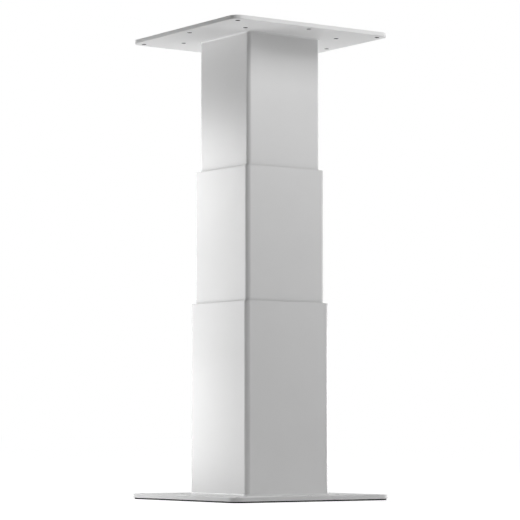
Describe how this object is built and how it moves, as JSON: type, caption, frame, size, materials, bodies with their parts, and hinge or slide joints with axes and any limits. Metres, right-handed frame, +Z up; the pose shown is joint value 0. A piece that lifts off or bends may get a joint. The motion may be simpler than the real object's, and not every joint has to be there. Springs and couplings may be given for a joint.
{
  "type": "electric lifting column",
  "caption": "Square telescopic lifting column with an electric spindle drive inside and a drilled square mounting plate at each end.",
  "frame": {"origin": "centre of the underside of the foot pad, with the column standing upright and fully extended", "axes": "+Z up along the column, -Y front, +Y rear with the power inlet, X across"},
  "size_m": [0.28, 0.28, 0.694],
  "materials": {
    "white_coat": "fine textured powder coat, satin",
    "rubber": "matt",
    "guide_plastic": "smooth moulded",
    "cast_alloy": "die-cast, satin",
    "bright_steel": "ground",
    "zinc_plate": "bright zinc plated",
    "cap_plastic": "moulded",
    "lead_jacket": "flexible jacket, matt",
    "nut_bronze": "machined",
    "contact_brass": "polished"
  },
  "bodies": {
    "base": {"foot_pad": "rubber", "base_plate": "white_coat", "base_weld": "white_coat", "lower_tube": "white_coat", "lower_guide_ring": "guide_plastic", "gear_housing": "cast_alloy", "gear_cover": "cast_alloy", "cover_screws": "zinc_plate", "drive_screws": "zinc_plate", "motor_gearhead": "bright_steel", "motor_can": "zinc_plate", "motor_end_cap": "cap_plastic", "motor_screws": "zinc_plate", "motor_lead": "lead_jacket", "inlet_socket": "zinc_plate", "inlet_insert": "cap_plastic", "inlet_pins": "contact_brass", "inlet_screws": "zinc_plate", "idler_pin": "bright_steel", "spindle_bearing_ring": "bright_steel", "spindle_bearing_balls": "bright_steel"},
    "lower_screw": {"lower_spindle": "bright_steel", "spindle_bearing_inner": "bright_steel", "spindle_gear": "nut_bronze", "drive_dog": "bright_steel"},
    "idler": {"idler_gear": "bright_steel"},
    "pinion": {"motor_shaft": "bright_steel", "motor_pinion": "bright_steel"},
    "middle": {"middle_tube": "white_coat", "middle_glides": "guide_plastic", "middle_guide_ring": "guide_plastic", "middle_bracket": "cast_alloy", "middle_bracket_screws": "zinc_plate", "lower_nut": "nut_bronze", "lower_nut_screws": "zinc_plate", "carrier_bearing_ring": "bright_steel", "carrier_bearing_balls": "bright_steel", "bearing_retainer": "zinc_plate", "retainer_screws": "zinc_plate"},
    "upper_screw": {"upper_spindle": "bright_steel", "carrier_bearing_inner": "bright_steel", "spindle_circlip": "bright_steel"},
    "upper": {"upper_tube": "white_coat", "upper_glides": "guide_plastic", "upper_bracket": "cast_alloy", "upper_bracket_screws": "zinc_plate", "upper_nut": "nut_bronze", "upper_nut_screws": "zinc_plate", "top_plate": "white_coat", "top_weld": "white_coat"}
  },
  "joints": [
    {"name": "middle_slide", "type": "slide", "parent": "base", "child": "middle", "axis": [0, 0, 1], "range_m": [-0.19, 0]},
    {"name": "upper_slide", "type": "slide", "parent": "middle", "child": "upper", "axis": [0, 0, 1], "range_m": [-0.19, 0]},
    {"name": "lower_screw_spin", "type": "hinge", "parent": "base", "child": "lower_screw", "pos_m": [-0.024, 0, 0.1], "axis": [0, 0, 1], "range_deg": [0, 5701]},
    {"name": "upper_screw_spin", "type": "hinge", "parent": "middle", "child": "upper_screw", "pos_m": [-0.024, 0, 0.3], "axis": [0, 0, 1], "range_deg": [0, 5701]},
    {"name": "idler_spin", "type": "hinge", "parent": "base", "child": "idler", "pos_m": [0.0105, 0, 0.015], "axis": [0, 0, 1], "range_deg": [-10689, 0]},
    {"name": "pinion_spin", "type": "hinge", "parent": "base", "child": "pinion", "pos_m": [0.0315, 0, 0.015], "axis": [0, 0, 1], "range_deg": [0, 14252]}
  ],
  "couplings": [
    {"joint": "upper_slide", "follows": "middle_slide", "ratio": 1},
    {"joint": "lower_screw_spin", "follows": "middle_slide", "rad_per_m": -523.6},
    {"joint": "upper_screw_spin", "follows": "middle_slide", "rad_per_m": -523.6},
    {"joint": "idler_spin", "follows": "middle_slide", "rad_per_m": 981.75},
    {"joint": "pinion_spin", "follows": "middle_slide", "rad_per_m": -1309}
  ]
}
